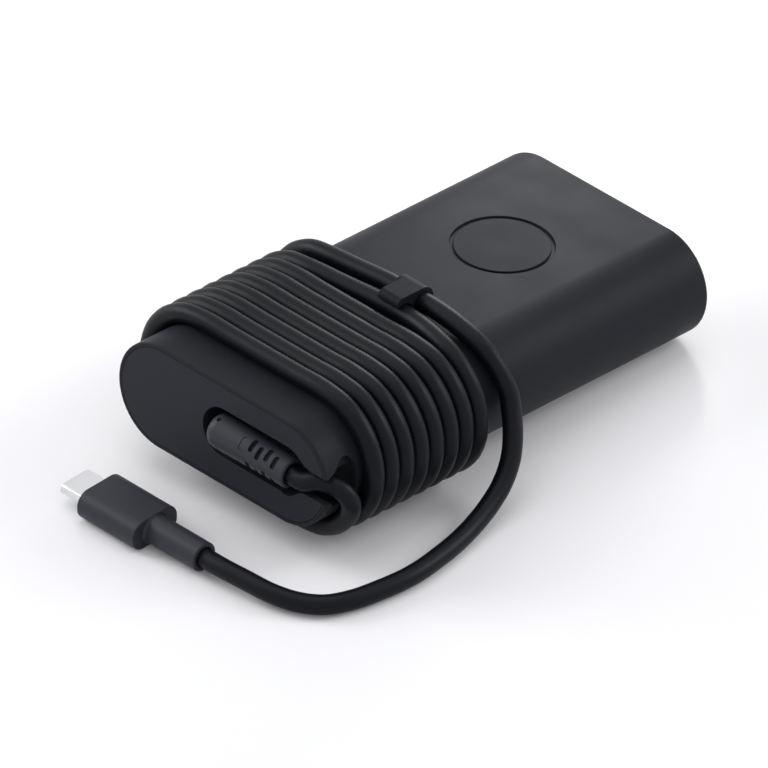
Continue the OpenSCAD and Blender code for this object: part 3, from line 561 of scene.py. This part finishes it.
def soften(bm, chosen, size, segments=3):
    """Bevels the edges that the test picks."""
    edges = [e for e in bm.edges if chosen(e)]
    bmesh.ops.bevel(bm, geom=edges, offset=size, segments=segments, profile=0.5,
                    affect="EDGES", clamp_overlap=True, material=-1)
    return bm


def on_y(y):
    """A test for edges that lie wholly at that y."""
    return lambda e: all(abs(v.co.y - y) < same_plane for v in e.verts)


trial = soften(pulled(rectangle(0, 0, 2, 2), 0, 2), on_y(0), 0.2)
print("a cube with one soft end has", len(trial.faces), "faces")
trial.free()

# %% From a shape to a finished piece
sharp_angle = 32


def finish(bm, name, material, node, place=STANDING, body="adapter"):
    """Puts a shape in its place, in metres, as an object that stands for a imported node."""
    bmesh.ops.remove_doubles(bm, verts=bm.verts, dist=1e-4)
    bmesh.ops.recalc_face_normals(bm, faces=bm.faces)
    placed(bm, Matrix.Scale(MM, 4) @ place)
    mesh = bpy.data.meshes.new(name)
    bm.to_mesh(mesh)
    bm.free()
    mesh.shade_smooth()
    mesh.set_sharp_from_angle(angle=math.radians(sharp_angle))
    mesh.materials.append(material)
    obj = bpy.data.objects.new(name, mesh)
    bpy.context.scene.collection.objects.link(obj)
    even = obj.modifiers.new("even_normals", "WEIGHTED_NORMAL")
    even.keep_sharp = True
    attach(obj, body)
    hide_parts(node)
    print(name, len(mesh.polygons), "faces")
    return obj


print("folds over", sharp_angle, "degrees stay sharp")

# %% [markdown]
# ## The case
# The case is a moulded sleeve with a flat top and bottom and half-round sides, closed by a cap
# at each end. A block with bevelled edges comes close. A circle whose halves are moved apart
# is better, because both sides stay true half circles. The edge at the cord end is crisp, and
# the one at the mains end is softer.


# %% The round-sided block
def round_sided(inset, y1, y2, segments=128):
    """The case's section, smaller all round by the inset, pulled from y1 to y2."""
    bm = bmesh.new()
    upright = Matrix.Rotation(math.pi / 2, 4, "X") @ Matrix.Rotation(math.pi / segments, 4, "Z")
    bmesh.ops.create_circle(bm, cap_ends=True, segments=segments, radius=side_r - inset,
                            matrix=Matrix.Translation((0, 0, side_r)) @ upright)
    for v in bm.verts:
        v.co.x += math.copysign(side_x, v.co.x)
    return pulled(bm, y1, y2)


trial = round_sided(0, 0, case_l)
print("block of", len(trial.faces), "faces")
trial.free()

# %% [markdown]
# The pocket in the cord end holds the boot, and a mouth in the right side lets the cord out to
# its first turn. Straight pulls of three outlines make one channel, and both the sleeve and
# the cap are cut with it, so that their edges meet. Behind the lip only the sleeve is open
# higher up, so that the pocket's own wall shows there as a shallow hollow.

# %% The channel that the cord runs through
pocket_h, pocket_d, pocket_wall = 10.9, 8, 1.4
pocket_top, pocket_low = pocket_z + pocket_h / 2, pocket_z - pocket_h / 2
neck_x = case_w / 2 - 12
mouth_x = neck_x + 5
mouth_low, lip_z = pocket_low + 2.4, 14.8


def channel():
    """The pocket, the neck that leads out of it, and the mouth in the side."""
    r = pocket_h / 2
    pocket = pulled(rectangle(pocket_x - r, pocket_low, neck_x + 1, pocket_top,
                              [r * 0.999, 0, 0, r * 0.999]), -1, pocket_d)
    neck = pulled(outline(
        [(neck_x - 1, pocket_low), (neck_x + 1.6, pocket_low - 0.55),
         (mouth_x + 0.2, mouth_low + 0.1), (case_w, mouth_low - 0.1), (case_w, lip_z),
         (mouth_x + 0.9, lip_z), (neck_x + 2.4, pocket_top - 0.1), (neck_x - 1, pocket_top)],
        [0, 1.5, 1, 0, 0, 1.6, 1.6, 0]), -1, 3)
    mouth = pulled(outline(
        [(-1, mouth_low), (-1, lip_z), (pocket_d, lip_z), (pocket_d, mouth_low - 1),
         (2, mouth_low - 1), (1.7, mouth_low)],
        [0, 0, 0, 0.8, 0.2, 0.2]), -neck_x + 0.5 - case_w, -neck_x + 0.5)
    placed(mouth, ALONG_X)
    return combine(combine(pocket, neck, "UNION"), mouth, "UNION")


def mouth_top():
    """The hollow over the mouth, behind the lip."""
    hollow = pulled(outline(
        [(0.7, lip_z - 0.1), (0.8, lip_z + 0.1), (2.7, lip_z + 0.9), (4.6, pocket_top),
         (6.9, pocket_top + 0.1), (pocket_d, lip_z + 0.3), (pocket_d, lip_z - 0.1)],
        [0, 0, 0.6, 1, 1, 0, 0]), -case_w, -side_x)
    return placed(hollow, ALONG_X)


trial = channel()
print("channel of", len(trial.faces), "faces, closed:", all(e.is_manifold for e in trial.edges))
trial.free()

# %% The sleeve's wall and seams
wall, cap_t, seam_in, fit_gap = 1.8, 2, 0.9, 0.1
sleeve = round_sided(0, 0, case_l)
soften(sleeve, on_y(0), front_rim_r, 4)
soften(sleeve, on_y(case_l), rear_rim_r, 6)
sleeve = combine(sleeve, round_sided(wall, -1, case_l + 1))
sleeve = combine(sleeve, round_sided(seam_in, -1, cap_t))
sleeve = combine(sleeve, round_sided(seam_in, case_l - cap_t, case_l + 1))
print("sleeve of", len(sleeve.faces), "faces")

# %% The sleeve's recesses for the badge and the label, and its mouth
badge_y, badge_recess_r, badge_groove, badge_depth = 77.5, 10.6, 0.8, 0.5
BADGE = Matrix.Translation((0, badge_y, case_h - badge_depth))
label_l, label_w, label_depth = 34, 30, 0.3
label_y = (lay(turns) + cord_d + case_l) / 2


def recess_rim(e):
    """A test for the edges round the badge's recess."""
    return all(abs(v.co.z - case_h) < 0.02
               and abs(math.hypot(v.co.x, v.co.y - badge_y) - badge_recess_r) < 0.01
               for v in e.verts)


sleeve = combine(sleeve, placed(turned(rectangle(0, 0, badge_recess_r, 4), 96), BADGE))
soften(sleeve, recess_rim, 0.12, 2)
sleeve = combine(sleeve, pulled(rectangle(-label_w / 2, -1, label_w / 2, label_depth),
                                label_y - label_l / 2, label_y + label_l / 2))
sleeve = combine(sleeve, mouth_top())
sleeve = combine(sleeve, channel())
finish(sleeve, "case_sleeve_piece", case_mat, "case_sleeve")

# %% [markdown]
# The cap at the cord end is a plate with the pocket's wall behind it. The wall could be a thin
# shell of its own. A solid lump is surer: it is joined to the plate, and then both are cut
# with the same channel as the sleeve.

# %% The cap at the cord end, with its pocket
front = round_sided(seam_in + fit_gap, 0, cap_t)
lump_r = pocket_h / 2 + pocket_wall
lump = pulled(rectangle(-lump_r, pocket_low - pocket_wall, case_w, pocket_top + pocket_wall,
                        [lump_r - 0.01, 0, 0, lump_r - 0.01]), cap_t / 2, pocket_d + pocket_wall)
lump = combine(lump, round_sided(wall + fit_gap, 0, case_l), "INTERSECT")
front = combine(front, lump, "UNION")
front = combine(front, channel())
soften(front, lambda e: on_y(0)(e) and not e.is_boundary
       and e.calc_face_angle(0) > sharp_fold, 0.25)
finish(front, "front_cap_piece", cap_mat, "front_cap")

# %% [markdown]
# ## The badge
# A plain disc lies in a round recess on top. A groove cut into a single surface would look
# the same from far off. A separate disc is truer: the narrow gap left round it, and its own
# softened rim, make it read as a piece that was pressed in.

# %% The badge
badge = turned(rectangle(0, 0, badge_recess_r - badge_groove, badge_depth - 0.05,
                         [0, 0, 0.15, 0]), 96)
finish(placed(badge, BADGE), "badge_disc_piece", badge_mat, "badge_disc")

# %% [markdown]
# ## The mains end
# The rear cap has the opening of a mains inlet with three lobes. Such an opening could be one
# drawn outline. Three circles and a block joined together need fewer sizes, and the circles
# share their middles with the pins. The three pins have round tips, so that a socket slides
# over them.

# %% The rear cap
lobe_r, pin_pitch, earth_rise = 4.35, 8.3, 5.4
pins_z = side_r - (earth_rise - 1.1) / 2
pin_places = [(-pin_pitch / 2, pins_z), (pin_pitch / 2, pins_z), (0, pins_z + earth_rise)]
opening_y = case_l - cap_t - 1
opening = pulled(rectangle(-pin_pitch / 2, pins_z - lobe_r, pin_pitch / 2, pins_z + earth_rise),
                 opening_y, case_l + 1)
for x, z in pin_places:
    lobe = turned(rectangle(0, 0, lobe_r, cap_t + 2))
    placed(lobe, Matrix.Translation((x, opening_y, z)) @ ALONG_Y)
    opening = combine(opening, lobe, "UNION")
rear = combine(round_sided(seam_in + fit_gap, case_l - cap_t, case_l), opening)
soften(rear, lambda e: on_y(case_l)(e) and e.calc_face_angle(0) > sharp_fold, 0.2)
finish(rear, "rear_cap_piece", cap_mat, "rear_cap")

# %% The three pins
pin_r, pin_l, pin_tail, inlet_d, inlet_wall = 1.2, 9, 2.5, 11.5, 1.4
tail_r, tail_end = pin_r - 0.2, -inlet_wall - pin_tail
pins = bmesh.new()
for x, z in pin_places:
    pin = turned(outline(
        [(0, tail_end), (tail_r, tail_end), (tail_r, 0), (pin_r, 0), (pin_r, pin_l), (0, pin_l)],
        [0, 0, 0, 0, pin_r * 0.9, 0]), 32)
    placed(pin, Matrix.Translation((x, case_l - inlet_d, z)) @ ALONG_Y)
    mesh = bpy.data.meshes.new("work")
    pin.to_mesh(mesh)
    pin.free()
    pins.from_mesh(mesh)
    bpy.data.meshes.remove(mesh)
finish(pins, "inlet_pins_piece", pin_mat, "inlet_pins")

# %% [markdown]
# ## The boot
# The boot is a bullet of soft rubber round the cord. Slots in two staggered rows let it bend
# evenly, so that the cord isn't kinked where it leaves. They could be a bump in the finish,
# but a bump has no floor and no shade, so they are cut. A fine frame is sunk before the first
# slot of each row, and two small dimples are sunk in the blind end.

# %% The boot
boot_r, boot_tip_r, boot_end_r = 3.7, 3.15, 2.4
LENGTHWISE = Matrix.Rotation(math.radians(90 + boot_drop), 4, "Y")
BOOT = Matrix.Translation((boot_x, boot_y, boot_z)) @ LENGTHWISE
boot = turned(outline(
    [(0, 0), (boot_r, 0), (boot_r, boot_end_r + 0.2), (boot_tip_r, boot_l),
     (cord_d / 2 + 0.4, boot_l), (cord_d / 2 + 0.1, boot_l - boot_mouth),
     (0, boot_l - boot_mouth)],
    [0, boot_end_r, 0, 0.45, 0.15, 0, 0]), 96)
print("boot of", len(boot.faces), "faces")

# %% Its slots, frames and dimples
slot_rows, slots, slot_sway = (48, -42), 4, 6
slot_x, slot_z, slot_floor, first_slot, slot_step = 1.4, 0.58, 2.4, 12.3, 2.1
frame_low, frame_high, frame_line, frame_floor, frame_along = 0.75, 1.2, 0.16, 3.05, 10.2
dimple_r, dimple_depth, dimples = 0.45, 0.6, ((2.3, 66), (5.6, 100))
outside = 5


def round_boot(bm, degrees, along):
    """Puts a cut round the boot by an angle, and along it."""
    return placed(bm, Matrix.Rotation(math.radians(degrees), 4, "Z")
                  @ Matrix.Translation((0, 0, along)))


for row in slot_rows:
    for i in range(slots):
        slot_cut = pulled(rectangle(-slot_x, -slot_z, slot_x, slot_z, 0.45), -outside, -slot_floor)
        sway = -slot_sway if i % 2 == 0 else slot_sway
        boot = combine(boot, round_boot(slot_cut, sway - row, first_slot + i * slot_step))
    frame_cut = pulled(rectangle(-slot_x, -frame_low, slot_x, frame_high, 0.4),
                       -outside, -frame_floor)
    inner_x, inner_low = slot_x - frame_line, frame_line - frame_low
    inner = pulled(rectangle(-inner_x, inner_low, inner_x, 3, 0.3), -outside - 1, -2)
    frame_cut = combine(frame_cut, inner)
    boot = combine(boot, round_boot(frame_cut, slot_sway - row, frame_along))
for along, degrees in dimples:
    dimple = turned(rectangle(0, 0, dimple_r, 2), 24)
    placed(dimple, Matrix.Translation((0, dimple_depth - boot_r, 0))
           @ Matrix.Rotation(math.pi / 2, 4, "X"))
    boot = combine(boot, round_boot(dimple, -degrees, along))
finish(boot, "cord_boot_piece", boot_mat, "cord_boot", place=STANDING @ BOOT)

# %% [markdown]
# ## The clip
# The clip is moulded rubber: a ring that the outgoing cord runs through, and a flat hook with
# a short lip that snaps over the turn beside it. It could be a thick strip bent by a curve.
# But seen from its end it is one flat shape, so it is pulled from outlines and then loses its
# sharp edges. It hangs from an empty of its own.

# %% The clip
hook_w, hook_reach, hook_bend, hook_low = 5.4, 7.15, 1.5, 1.3
hook_y, hook_top = clip_y - hook_reach, clip_z + ring_r
turn_y, turn_z = lay(turns - 1) + pull * 0.9, case_h + coil_off
clip_ends = (ring_low, ring_high, ring_high - hook_w)


def round_bar(y, z, r, x1, x2):
    """A round bar along x, whose middle line is at y and z."""
    bar = turned(rectangle(0, x1, r, x2))
    return placed(bar, Matrix.Translation((0, y, z)) @ Matrix.Rotation(math.pi / 2, 4, "Y"))


def clip_end(e):
    """A test for the sharp edges at the flat ends of the ring and the hook."""
    flat = any(all(abs(v.co.x - x) < same_plane for v in e.verts) for x in clip_ends)
    return flat and e.calc_face_angle(0) > sharp_fold


clip = round_bar(clip_y, clip_z, ring_r, ring_low, ring_high)
hook = pulled(outline(
    [(clip_y, clip_z), (clip_y, hook_top), (hook_y, hook_top), (hook_y, clip_z + hook_low),
     (turn_y, clip_z + hook_low), (turn_y + 1, clip_z)],
    [0, 0, hook_bend, 0.15, 0, 0]), -ring_high, hook_w - ring_high)
clip = combine(clip, placed(hook, ALONG_X), "UNION")
clip = combine(clip, round_bar(turn_y, turn_z, coil_r + 0.6, ring_low - 1, ring_high + 1))
soften(clip, clip_end, 0.3)
cord_hole = round_bar(clip_y, clip_z, cord_d / 2 + clip_play, ring_low - 1, ring_high + 1)
clip = combine(clip, cord_hole)
finish(clip, "cord_clip_piece", clip_mat, "cord_clip", body="clip")

# %% [markdown]
# ## The plug
# The plug is a metal shell in a moulded grip, with a round collar over the cord. The grip's
# section has a flat top and nearly half-round sides, and its ends are cut square with only a
# small round. A subdivided block would round the ends as much as the sides, so the section is
# pulled straight and only its ends are bevelled. The shell is a folded tube with a
# round-ended section, made in the same way and hollowed.

# %% The grip
plug_l, plug_w, plug_edge_r, collar_d, collar_l = 15.7, 12.35, 3, 6.2, 13.7
shell_w, shell_h, shell_l, shell_t = 8.34, 2.56, 6.65, 0.3
collar_x = collar_end - collar_l
plug_x = collar_x - plug_l
PLUG = Matrix.Translation((0, plug_y, plug_z))


def shell_bar(x1, x2, grow):
    """The shell's section, larger all round by grow, between two places along the plug."""
    h, w = shell_h / 2 + grow, shell_w / 2 + grow
    return pulled(rectangle(-w, -h, w, h, h * 0.995), -x2, -x1)


grip = pulled(rectangle(-plug_w / 2, -plug_h / 2, plug_w / 2, plug_h / 2, plug_edge_r),
              -plug_x - plug_l, -plug_x)
soften(grip, lambda e: on_y(-plug_x)(e) or on_y(-plug_x - plug_l)(e), 0.25)
grip = combine(grip, shell_bar(plug_x - 1, plug_x + 2, 0.05))
finish(placed(grip, ALONG_X), "plug_overmould_piece", plug_mat,
       "plug_overmould", place=PLUG)

# %% The collar
collar = turned(outline(
    [(0, 0), (collar_d / 2 + 0.4, 0), (collar_d / 2, 0.4), (collar_d / 2, collar_l),
     (cord_d / 2 + 0.15, collar_l), (cord_d / 2 + 0.05, collar_l - collar_mouth),
     (0, collar_l - collar_mouth)],
    [0, 0, 0.35, 0.3, 0.15, 0, 0]))
placed(collar, Matrix.Translation((collar_x, 0, 0)) @ Matrix.Rotation(math.pi / 2, 4, "Y"))
finish(collar, "plug_sleeve_piece", plug_mat, "plug_sleeve", place=PLUG)

# %% The metal shell
shell = shell_bar(plug_x - shell_l, plug_x + 4, 0)
soften(shell, on_y(-plug_x + shell_l), 0.12)
shell = combine(shell, shell_bar(plug_x - shell_l - 1, plug_x + 5, -shell_t))
finish(placed(shell, ALONG_X), "plug_shell_piece", shell_mat,
       "plug_shell", place=PLUG)

# %% [markdown]
# ## The pieces inside
# The parts on the board are plain boxes, cans and cores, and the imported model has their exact
# shapes. Modelling them again would add nothing, so they keep those shapes, and each gets the
# finish of what it is.

# %% Finishes of the slots that have one already
by_slot = {
    "case_plastic": case_mat, "cap_plastic": cap_mat, "badge_plastic": badge_mat,
    "boot_rubber": boot_mat, "cord_jacket": cord_mat, "clip_rubber": clip_mat,
    "plug_plastic": plug_mat, "shell_metal": shell_mat, "contact_gold": gold_mat,
    "inlet_plastic": inlet_mat, "pin_metal": pin_mat,
}
print(len(by_slot), "slots have a finish")

# %% Finishes of the board and of what lies flat on it
# Solder mask over glass fibre: a satin dark green.
by_slot["circuit_board"] = grained(
    "solder_masked_fr4", ("#1d4a30", "#17402a"), 0.4, 0.06, 0.4, 0.01)
# Aramid paper: a dull straw colour.
by_slot["insulation_film"] = grained(
    "aramid_insulation_paper", ("#d9cfae", "#cdbf98"), 0.6, 0.05, 0.5, 0.02)
# Rolled aluminium sheet: a grey metal with blurred lights.
by_slot["spreader_metal"] = grained(
    "rolled_aluminium", ("#c4c7cb", "#b5b8bd"), 0.35, 0.08, 0.3, 0.004, metallic=1.0)
# Silicone filled with ceramic powder: blue grey, without any shine.
by_slot["pad_silicone"] = grained(
    "silicone_gap_pad", ("#8c9fb2", "#8093a6"), 0.7, 0.04, 0.5, 0.02)
# Anodised aluminium: a grey metal with a velvety light.
by_slot["heatsink_metal"] = grained(
    "anodised_aluminium", ("#8d9094", "#9a9da1"), 0.4, 0.05, 0.3, 0.006, metallic=1.0)
# Silicone wire insulation: a plain dark red.
by_slot["lead_insulation"] = grained(
    "silicone_wire_insulation", ("#8c2f2a", "#7c2723"), 0.5, 0.05, 0.3, 0.01)
print(len(by_slot), "slots have a finish")

# %% Finishes of the components
# Moulded epoxy, as on switches and chips: a matt black.
by_slot["black_epoxy"] = grained(
    "black_moulded_epoxy", ("#1b1c1e", "#222326"), 0.5, 0.06, 0.3, 0.01)
# The box of a mains capacitor: a plain yellow with a soft shine.
by_slot["filter_yellow"] = grained(
    "flame_retardant_pbt_box", ("#d2a52f", "#c4972a"), 0.45, 0.05, 0.4, 0.008)
# Sintered ferrite: charcoal, as dry as slate.
by_slot["ferrite"] = grained(
    "sintered_ferrite", ("#2d2e31", "#3a3b3f"), 0.65, 0.05, 0.25, 0.02)
# Enamelled wire: reddish metal that shines under its clear coat.
by_slot["copper_wire"] = grained(
    "enamelled_copper_wire", ("#b5622e", "#9c4f24"), 0.3, 0.08, 0.5, 0.02, metallic=1.0)
# Phenolic resin: a dull cream.
by_slot["bobbin_plastic"] = grained(
    "phenolic_bobbin", ("#d2cbb4", "#c3ba9f"), 0.5, 0.05, 0.4, 0.01)
# Shrunk film over an aluminium can: dark blue and smooth.
by_slot["capacitor_can"] = grained(
    "pet_sleeved_can", ("#2b3a52", "#24324a"), 0.35, 0.06, 0.4, 0.005)
print(len(by_slot), "slots have a finish")

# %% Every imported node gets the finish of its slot
for part in frame["record"]["subparts"]:
    node = frame["nodes"][part["node"]]
    chosen = insert_mat if part["node"] == "plug_insert" else by_slot[part["material_slot"]]
    for material_slot in node.material_slots:
        material_slot.material = chosen
    if not node.material_slots:
        node.data.materials.append(chosen)
